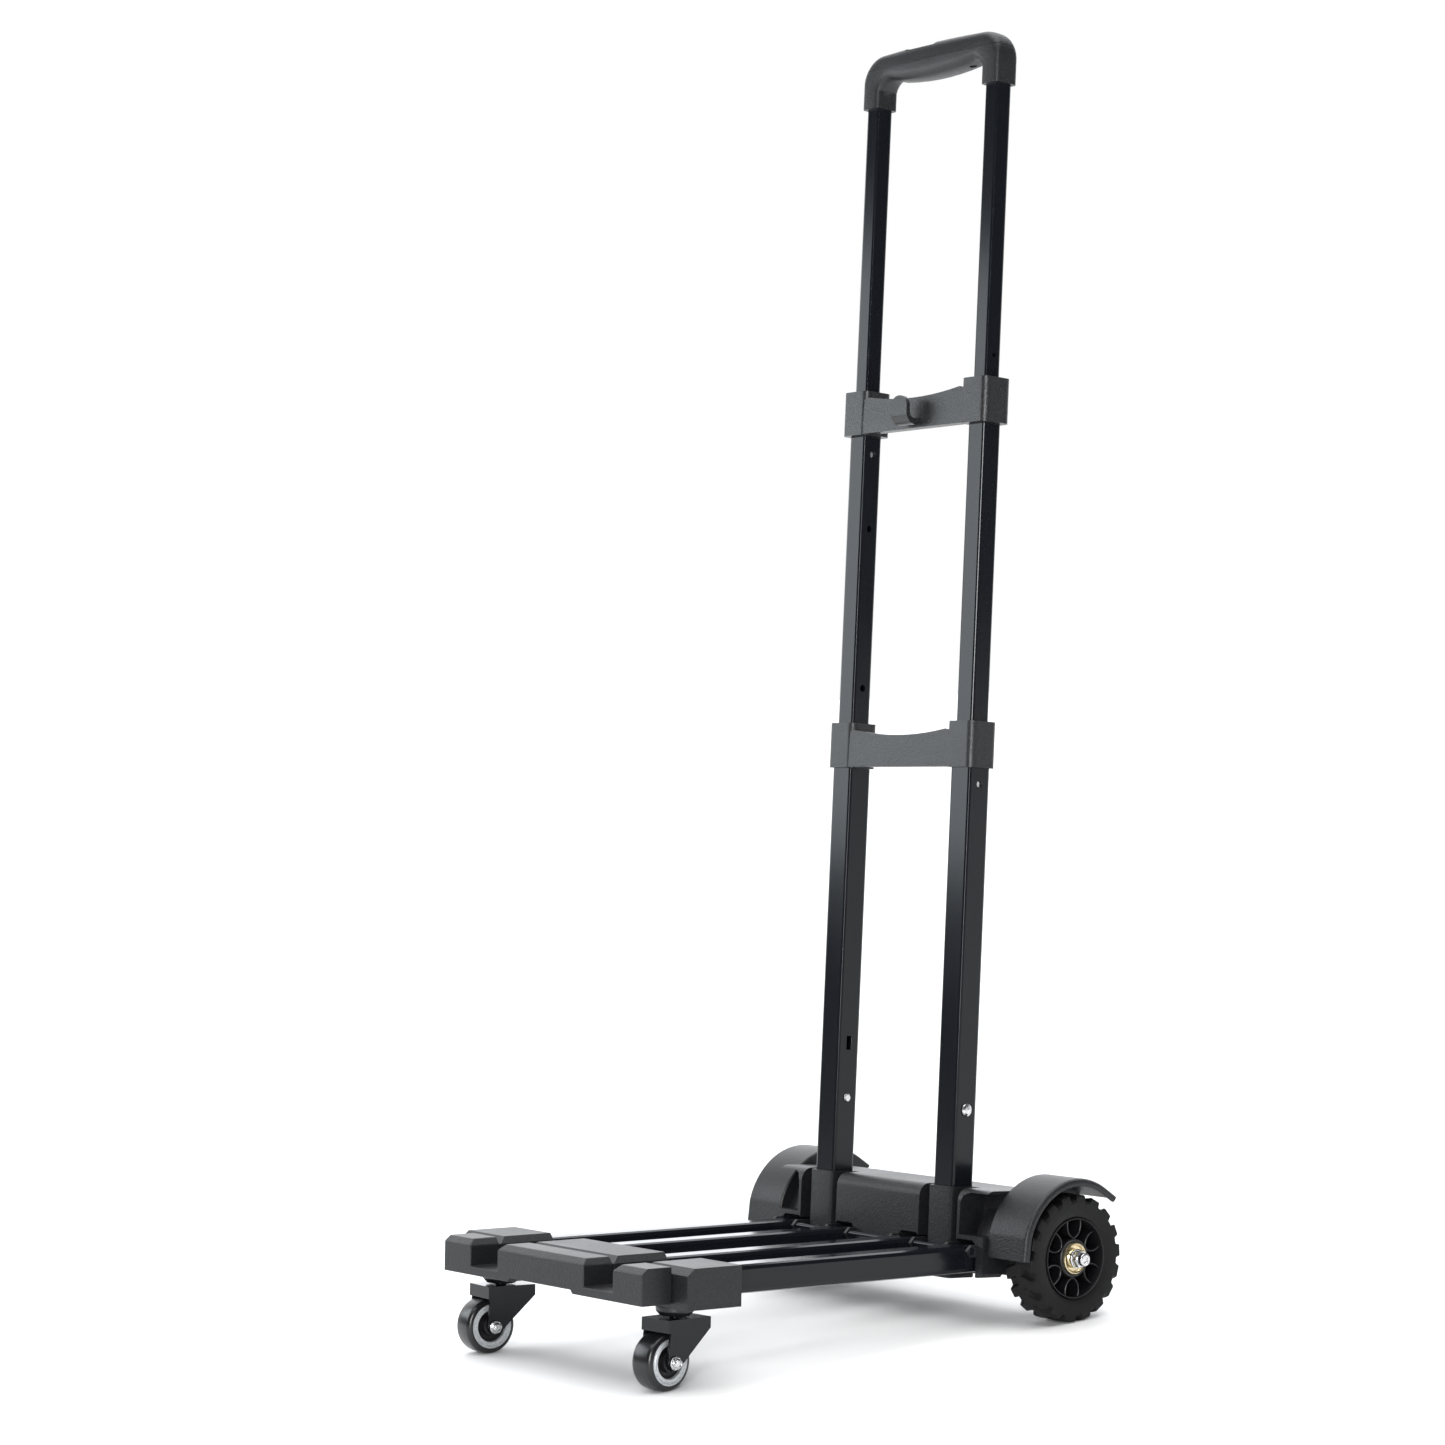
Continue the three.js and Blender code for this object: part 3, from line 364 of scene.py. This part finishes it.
def spoke_pair(middle):
    """Two ribs that leave the hub as one U and bow out to the rim."""
    path = [(RIM_INNER + 0.6, 6.6), (27, 7.1), (24, 6.9), (21, 6.1), (18.4, 4.6), (16.4, 2.7), (15.2, 0.9)]
    path = path + [(radius, -side) for radius, side in reversed(path)]
    points = [Vector((math.sqrt(radius ** 2 - side ** 2), side)) for radius, side in path]
    turn = Matrix.Rotation(middle, 2)
    back, front = -WHEEL_HALF + 4, WHEEL_HALF - 3.6
    bm = bmesh.new()
    rings = []
    for i, point in enumerate(points):
        along = (points[min(i + 1, len(points) - 1)] - points[max(i - 1, 0)]).normalized()
        across = Vector((-along.y, along.x))
        a = turn @ (point + across * SPOKE_HALF_THICKNESS)
        b = turn @ (point - across * SPOKE_HALF_THICKNESS)
        section = ((back, *a), (front - 0.4, *a), (front, *a.lerp(b, 0.3)),
                   (front, *a.lerp(b, 0.7)), (front - 0.4, *b), (back, *b))
        rings.append([bm.verts.new(corner) for corner in section])
    join_rings(bm, rings, closed=False)
    return bm


def bearing():
    """Pressed ring with a rolled edge and a dished middle."""
    front = WHEEL_HALF - 1.2
    return lathe([(-WHEEL_HALF + 2, 4.4), (-WHEEL_HALF + 2, 10), (front - 2.4, 10), (front - 2.4, 11.8),
                  (front - 1.2, 12.3), (front, 11.9), (front + 0.4, 11.2), (front, 10.4), (front - 1.6, 9.6),
                  (front - 1.8, 6.9), (front - 0.9, 6.1), (front - 0.9, 4.4)], 64)


def lock_nut(across, height, dome):
    """Hexagon on a round flange, with a rounded collar standing out of it."""
    bm = lathe([(0, 0), (0, across * 0.62), (1, across * 0.62), (1.4, across * 0.55), (1.4, 0)], 48)
    hexagon = arc((0, 0), across / math.sqrt(3), 0, 300, 5)
    prism(bm, hexagon, 1.2, height - 0.5)
    collar = across * 0.43
    add_mesh(bm, lathe([(height - 1, 0), (height - 1, collar), (height + dome - 1.2, collar),
                        (height + dome - 0.3, collar - 0.5), (height + dome, collar - 1.4),
                        (height + dome, 2.6), (height + dome - 1.2, 2.4), (height + dome - 1.2, 0)], 48))
    return bm


def rear_wheels():
    for name, side in SIDES:
        place = axle_frame(f"rear_wheel_roll_{name}", side)
        body = f"rear_wheel_{name}"
        add_piece(f"tyre_{name}", tyre(), place, body, "tyre_rubber", [f"rear_tyre_{name}"], 0.45, 40)
        add_piece(f"rim_{name}", rim(), place, body, "rim_plastic", [f"rear_rim_{name}"])
        add_piece(f"bearing_{name}", bearing(), place, body, "gold_zinc", [f"hub_bearing_{name}"])
        nut_place = place @ Matrix.Translation((WHEEL_HALF + 0.3, 0, 0))
        add_piece(f"nut_{name}", lock_nut(12, 5.5, 4), nut_place, "chassis", "zinc_steel",
                  [f"axle_nut_{name}"], 0.25)


# ---- Fenders ----
def fender(side):
    """An open arch: roof with a turned-down outer lip and an inner wall, closed at both ends."""
    inner, outer, roof, lip = FENDER_INNER_X, FENDER_OUTER_X, FENDER_RADIUS, FENDER_LIP
    ceiling = roof - FENDER_WALL
    section = [(inner, 12), (inner, roof - 1.2), (inner + 1.2, roof), (outer - lip, roof)]
    section += [(outer - lip + lip * math.sin(t), roof - lip + lip * math.cos(t))
                for t in (0.4, 0.8, 1.2, 1.57)]
    section += [(outer, roof - 5.4), (outer - 0.8, roof - 6), (outer - 2, roof - 6),
                (outer - 2.8, roof - 5.4), (outer - 3, roof - 3.4), (outer - 3.8, ceiling),
                (inner + 3, ceiling), (inner + 3, 12)]
    bm = bmesh.new()
    rings = []
    for step in range(FENDER_STEPS + 1):
        angle = math.radians(FENDER_TAIL + (FENDER_CREASE - FENDER_TAIL) * step / FENDER_STEPS)
        flare = 1.6 * max(0, 1 - step / 5) ** 2
        rings.append([bm.verts.new((side * x, FENDER_Y + (r + flare) * math.cos(angle),
                                    FENDER_Z + (r + flare) * math.sin(angle))) for x, r in section])
    rings.append([bm.verts.new((side * x, FENDER_Y - r, FENDER_BOTTOM)) for x, r in section])
    join_rings(bm, rings, closed=False)
    return bm


def fenders():
    for name, side in SIDES:
        add_piece(f"arch_{name}", fender(side), HANDLE, "chassis", "grained_plastic",
                  [f"fender_{name}"], 0.4, 40)


# ---- Casters ----
def roller_tyre():
    """A tread with round shoulders, seated on the side rings."""
    half, radius, shoulder = ROLLER_HALF, ROLLER_RADIUS, ROLLER_SHOULDER
    right = [(half - shoulder + shoulder * math.sin(t), radius - shoulder + shoulder * math.cos(t))
             for t in (0, 0.35, 0.7, 1.05, 1.4, 1.57)]
    right += [(half - 0.3, 17.6), (half - 1, 17.3)]
    left = [(-x, r) for x, r in reversed(right)]
    return lathe(right + left, 72)


def roller_disc():
    """Pale side ring with a groove turned in each face."""
    half = ROLLER_HALF
    right = [(half - 0.6, 17.2), (half - 0.2, 16.8), (half - 0.2, 15.6), (half - 0.8, 15.2),
             (half - 0.8, 14.8), (half - 0.3, 14.4), (half - 0.3, 12.2), (half - 1.6, 11.6)]
    left = [(-x, r) for x, r in reversed(right)]
    return lathe(right + left, 64)


def roller_boss():
    """Black core with a raised middle that nearly reaches the fork."""
    half = ROLLER_HALF
    right = [(half - 2, 11.5), (half - 2.4, 10.8), (half - 2.6, 7.6), (half + 0.6, 7), (half + 0.9, 6.4),
             (half + 0.9, 2.9)]
    left = [(-x, r) for x, r in reversed(right)]
    return lathe(right + left, 64)


def casters():
    for name, side in SIDES:
        place = axle_frame(f"caster_roll_{name}", side)
        body = f"caster_wheel_{name}"
        add_piece(f"roller_{name}", roller_tyre(), place, body, "roller_tread", [f"roller_tyre_{name}"])
        add_piece(f"roller_disc_{name}", roller_disc(), place, body, "grey_disc", [f"roller_hub_{name}"])
        add_piece(f"roller_boss_{name}", roller_boss(), place, body, "rim_plastic")
        nut_place = axle_frame(f"caster_roll_{name}", 1) @ Matrix.Translation((FORK_NUT_X, 0, 0))
        add_piece(f"axle_stop_{name}", lock_nut(8, 3.2, 1.6), nut_place, f"caster_fork_{name}",
                  "zinc_steel", [f"caster_nut_{name}"], 0.2)


# ---- Grip ----
def grip_section(point, across, width, depth, corner):
    """A superellipse: `across` is its width direction in the (x, z) plane, and y its depth."""
    ring = []
    for step in range(GRIP_SIDES):
        t = 2 * math.pi * step / GRIP_SIDES
        c, s = math.cos(t), math.sin(t)
        u = math.copysign(abs(c) ** corner, c) * width / 2
        v = math.copysign(abs(s) ** corner, s) * depth / 2
        ring.append((point[0] + across[0] * u, v, point[1] + across[1] * u))
    return ring


def grip_solid():
    """A loft along the legs and the bar: slim at the legs, deep and tall in the middle."""
    outer, inner, bend = GRIP_HALF, GRIP_LEG_INNER, GRIP_BEND
    leg_corner, bar_corner = 0.36, 0.64
    inner_bend = 8
    stations = []
    for z in (GRIP_LEG_BOTTOM, 868, 874, GRIP_LEG_TOP):
        stations.append(((outer + inner) / 2, z, 1, 0, outer - inner, GRIP_LEG_DEPTH, leg_corner))
    for angle in range(0, 91, 10):
        t = math.radians(angle)
        outside = Vector((outer - bend + bend * math.cos(t), GRIP_TOP - bend + bend * math.sin(t)))
        inside = Vector((inner - inner_bend * (1 - math.cos(t)) - 4 * math.sin(t),
                         GRIP_LEG_TOP + inner_bend * math.sin(t)))
        middle, span = (outside + inside) / 2, outside - inside
        corner = leg_corner + 0.24 * math.sin(t)
        stations.append((*middle, *span.normalized(), span.length, GRIP_LEG_DEPTH, corner))
    for x in (42, 30, 18, 6):
        swell = 1 - (x / 58) ** 2
        top = GRIP_TOP + GRIP_CROWN * swell
        bottom = GRIP_LEG_TOP + inner_bend - GRIP_BELLY * (1 - (x / 56) ** 2)
        depth = GRIP_MIDDLE_DEPTH - (GRIP_MIDDLE_DEPTH - GRIP_LEG_DEPTH) * (1 - swell)
        stations.append((x, (top + bottom) / 2, 0, 1, top - bottom, depth, bar_corner))
    mirrored = [(-x, z, -ax, az, *rest) for x, z, ax, az, *rest in reversed(stations)]
    bm = bmesh.new()
    rings = []
    for x, z, ax, az, width, depth, corner in stations + mirrored:
        ring = grip_section((x, z), (ax, az), width, depth, corner)
        rings.append([bm.verts.new(p) for p in ring])
    join_rings(bm, rings, closed=False)
    return bm


def rounded_outline(length, width, corner, steps=5):
    """A rectangle with rounded corners in the (x, y) plane."""
    x, y = length / 2 - corner, width / 2 - corner
    centres = ((x, y, 0), (-x, y, 90), (-x, -y, 180), (x, -y, 270))
    return [point for cx, cy, turn in centres for point in arc((cx, cy), corner, turn, turn + 90, steps)]


def upright_prism(outline, z0, z1, centre_x):
    """An outline of (x, y) points swept along Z."""
    bm = bmesh.new()
    low = [bm.verts.new((centre_x + x, y, z0)) for x, y in outline]
    high = [bm.verts.new((centre_x + x, y, z1)) for x, y in outline]
    join_rings(bm, [low, high], closed=False)
    return bm


def half_of(bm, z, keep_above):
    """One side of the mesh, cut at z and closed there."""
    cut = bmesh.ops.bisect_plane(bm, geom=bm.verts[:] + bm.edges[:] + bm.faces[:], plane_co=(0, 0, z),
                                 plane_no=(0, 0, 1), clear_inner=keep_above, clear_outer=not keep_above)
    rim_edges = [e for e in cut["geom_cut"] if isinstance(e, bmesh.types.BMEdge)]
    bmesh.ops.holes_fill(bm, edges=rim_edges, sides=0)
    return bm


def carve(piece, tool_mesh, name):
    """Cuts a closed tool out of a piece, and applies the cut to its mesh."""
    bm = tool_mesh
    bm.transform(HANDLE)
    bmesh.ops.recalc_face_normals(bm, faces=bm.faces)
    mesh = bpy.data.meshes.new(name)
    bm.to_mesh(mesh)
    bm.free()
    tool = bpy.data.objects.new(name, mesh)
    bpy.context.scene.collection.objects.link(tool)
    boolean = piece.modifiers.new("cut", "BOOLEAN")
    boolean.object = tool
    boolean.solver = "EXACT"
    graph = bpy.context.evaluated_depsgraph_get()
    carved = bpy.data.meshes.new_from_object(piece.evaluated_get(graph), depsgraph=graph)
    piece.modifiers.remove(boolean)
    piece.data = carved
    bpy.data.objects.remove(tool)


def grip():
    """Two shells that meet at a seam, and the button in its recess."""
    upper = half_of(grip_solid(), GRIP_SPLIT + GRIP_SEAM, keep_above=True)
    lower = half_of(grip_solid(), GRIP_SPLIT - GRIP_SEAM, keep_above=False)
    under = add_piece("grip_under", lower, HANDLE, "top_stage", "grained_plastic", ["grip_lower_shell"],
                      sharp=50)
    circle = arc((0, 0), SCREW_RADIUS, 0, 342, 19)
    carve(under, upright_prism(circle, GRIP_LEG_BOTTOM + 4, SCREW_DEPTH_Z, SCREW_X), "screw_hole")
    top = add_piece("grip_over", upper, HANDLE, "top_stage", "grained_plastic", ["grip_upper_shell"],
                    sharp=50)
    opening = rounded_outline(BUTTON_LENGTH + 2 * RECESS_GAP, BUTTON_WIDTH + 2 * RECESS_GAP, 4)
    carve(top, upright_prism(opening, RECESS_FLOOR, GRIP_TOP + 5.5, BUTTON_X), "recess")
    round_edges(top, 0.5, 55)
    outline = rounded_outline(BUTTON_LENGTH, BUTTON_WIDTH, 3.6)
    cap = upright_prism(outline, BUTTON_BOTTOM, BUTTON_TOP, BUTTON_X)
    add_piece("thumb_button", cap, HANDLE, "release_linkage", "satin_plastic", ["release_button"], 0.9)


# ---- CAD nodes that stay ----
# Edge bevels in millimetres. Nodes that aren't listed have PLAIN_BEVEL, or TUBE_BEVEL for a tube.
BEVELS = {
    "axle_housing": 0.7,
    "front_block": 0.8,
    "front_bar": 0.8,
    "lower_clamp": 0.8,
    "upper_clamp": 0.8,
    "caster_fork_left": 0.5,
    "caster_fork_right": 0.5,
    "caster_mount_left": 0.4,
    "caster_mount_right": 0.4,
    "housing_bottom_cover": 0.5,
}
PLAIN_BEVEL = 0.25
TUBE_BEVEL = 0.5


def finish_cad_nodes():
    """Every CAD node still shown gets its finish, welded faces and rounded edges, and tubes flat facets."""
    for subpart in frame["record"]["subparts"]:
        node = frame["nodes"][subpart["node"]]
        if node.hide_render:
            continue
        node.data.materials.clear()
        node.data.materials.append(MATERIALS[subpart["material_slot"]])
        if "custom_normal" in node.data.attributes:
            node.data.attributes.remove(node.data.attributes["custom_normal"])
        tube = "tube" in subpart["node"]
        for polygon in node.data.polygons:
            polygon.use_smooth = not tube
        weld = node.modifiers.new("weld", "WELD")
        weld.merge_threshold = WELD_DISTANCE
        flat = node.modifiers.new("flat", "DECIMATE")
        flat.decimate_type = "DISSOLVE"
        flat.angle_limit = math.radians(1)
        if tube:
            add_bevel(node, TUBE_BEVEL, 35, 1)
        else:
            round_edges(node, BEVELS.get(subpart["node"], PLAIN_BEVEL))


# ---- Stage, light and camera: metres, watts and degrees ----
SEEN_WHITE = 1.0
BACKDROP = (-0.77, 0.62, 0.15)
BACKDROP_EDGES = (0.35, 0.95)
BACKDROP_GLOW = 2.2
WALL_GLOW = 0.1
SUN_STRENGTH = 3.4
SUN_SPREAD = 75
LIGHT_AIM = (0, 0.1, 0.6)
CAMERA_PLACE = (2.0540, -1.7221, 0.5142)
CAMERA_HEADING = 50.629
CAMERA_TILT = 0.979
CAMERA_ROLL = -2.390
CAMERA_LENS = 86.8
CAMERA_SENSOR = 36


def floor():
    bm = bmesh.new()
    bmesh.ops.create_grid(bm, x_segments=1, y_segments=1, size=30)
    mesh = bpy.data.meshes.new("floor")
    bm.to_mesh(mesh)
    bm.free()
    ground = bpy.data.objects.new("floor", mesh)
    bpy.context.scene.collection.objects.link(ground)
    mesh.materials.append(surface("floor", (0.86, 0.86, 0.86), 0.8, 3, spread=0.01))


def area_light(name, place, size, power, color=(1, 1, 1)):
    """A rectangular lamp turned to the middle of the cart."""
    light = bpy.data.lights.new(name, "AREA")
    light.shape = "RECTANGLE"
    light.size, light.size_y = size
    light.energy = power
    light.color = color
    lamp = bpy.data.objects.new(name, light)
    lamp.location = place
    lamp.rotation_euler = (Vector(LIGHT_AIM) - Vector(place)).to_track_quat("-Z", "Y").to_euler()
    bpy.context.scene.collection.objects.link(lamp)


def studio():
    """White to the camera; the object reflects a bright backdrop behind it and dark walls beside it."""
    world = bpy.data.worlds.new("studio")
    world.use_nodes = True
    nodes, links = world.node_tree.nodes, world.node_tree.links
    seen = nodes["Background"]
    seen.inputs["Color"].default_value = (1, 1, 1, 1)
    seen.inputs["Strength"].default_value = SEEN_WHITE
    place = nodes.new("ShaderNodeTexCoord")
    facing = nodes.new("ShaderNodeVectorMath")
    facing.operation = "DOT_PRODUCT"
    facing.inputs[1].default_value = BACKDROP
    links.new(place.outputs["Generated"], facing.inputs[0])
    glow = nodes.new("ShaderNodeMapRange")
    glow.interpolation_type = "SMOOTHSTEP"
    glow.inputs["From Min"].default_value, glow.inputs["From Max"].default_value = BACKDROP_EDGES
    glow.inputs["To Min"].default_value = WALL_GLOW
    glow.inputs["To Max"].default_value = BACKDROP_GLOW
    links.new(facing.outputs["Value"], glow.inputs["Value"])
    walls = nodes.new("ShaderNodeBackground")
    walls.inputs["Color"].default_value = (0.95, 0.97, 1, 1)
    links.new(glow.outputs["Result"], walls.inputs["Strength"])
    rays = nodes.new("ShaderNodeLightPath")
    mix = nodes.new("ShaderNodeMixShader")
    links.new(rays.outputs["Is Camera Ray"], mix.inputs[0])
    links.new(walls.outputs["Background"], mix.inputs[1])
    links.new(seen.outputs["Background"], mix.inputs[2])
    links.new(mix.outputs["Shader"], nodes["World Output"].inputs["Surface"])
    bpy.context.scene.world = world
    sun = bpy.data.lights.new("overhead", "SUN")
    sun.energy = SUN_STRENGTH
    sun.angle = math.radians(SUN_SPREAD)
    lamp = bpy.data.objects.new("overhead", sun)
    bpy.context.scene.collection.objects.link(lamp)
    area_light("front_left", (-1.5, -1.15, 0.95), (1.3, 0.85), 15, (0.9, 0.96, 1))
    area_light("near_camera", (2.75, -2.85, 1.25), (0.8, 1.8), 110)


def camera():
    """The photograph's view: heading to the left of +Y, tilt down and roll."""
    heading, tilt, roll = (math.radians(angle) for angle in (CAMERA_HEADING, CAMERA_TILT, CAMERA_ROLL))
    forward = Vector((-math.sin(heading) * math.cos(tilt), math.cos(heading) * math.cos(tilt),
                      -math.sin(tilt)))
    level = forward.cross(Vector((0, 0, 1))).normalized()
    over = level.cross(forward)
    right = level * math.cos(roll) + over * math.sin(roll)
    up = over * math.cos(roll) - level * math.sin(roll)
    data = bpy.data.cameras.new("camera")
    data.lens = CAMERA_LENS
    data.sensor_width = CAMERA_SENSOR
    data.clip_end = 100
    view = bpy.data.objects.new("camera", data)
    turn = Matrix((right, up, -forward)).transposed().to_4x4()
    view.matrix_world = Matrix.Translation(CAMERA_PLACE) @ turn
    bpy.context.scene.collection.objects.link(view)
    bpy.context.scene.camera = view
    bpy.context.scene.view_settings.view_transform = "Standard"


rear_wheels()
fenders()
casters()
grip()
finish_cad_nodes()
floor()
studio()
camera()
